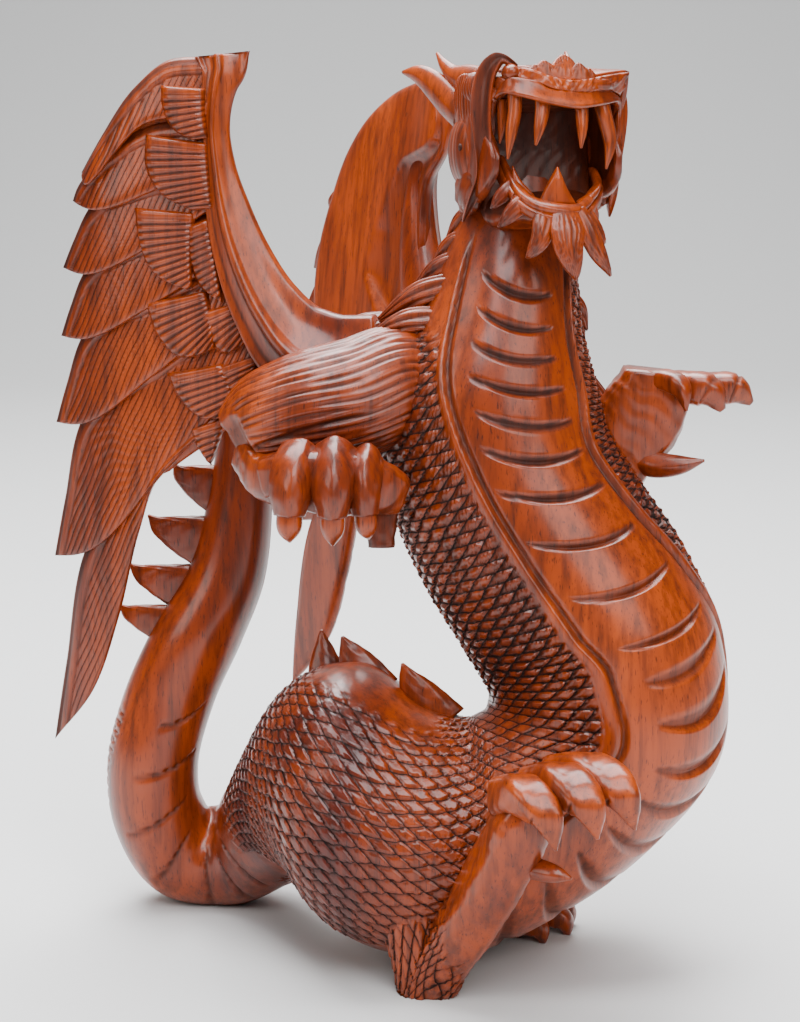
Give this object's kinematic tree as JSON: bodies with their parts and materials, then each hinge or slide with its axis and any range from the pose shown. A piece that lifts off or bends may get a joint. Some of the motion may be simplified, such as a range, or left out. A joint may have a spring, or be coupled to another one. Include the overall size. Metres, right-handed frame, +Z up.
{
  "type": "wooden dragon statue",
  "caption": "Winged dragon sitting up on its haunch with open mouth and raised tail, carved from one block of wood, standing on its own heel, foot and tail.",
  "frame": {"origin": "centre of the bounding box at its bottom, on the ground the statue stands on", "axes": "+X to the figure's left, +Y to its back, +Z up; the belly and the open mouth face -Y"},
  "size_m": [0.3204, 0.2877, 0.4026],
  "materials": {
    "varnished_wood": "satin varnish"
  },
  "bodies": {
    "root": {"dragon": "varnished_wood"}
  },
  "joints": []
}
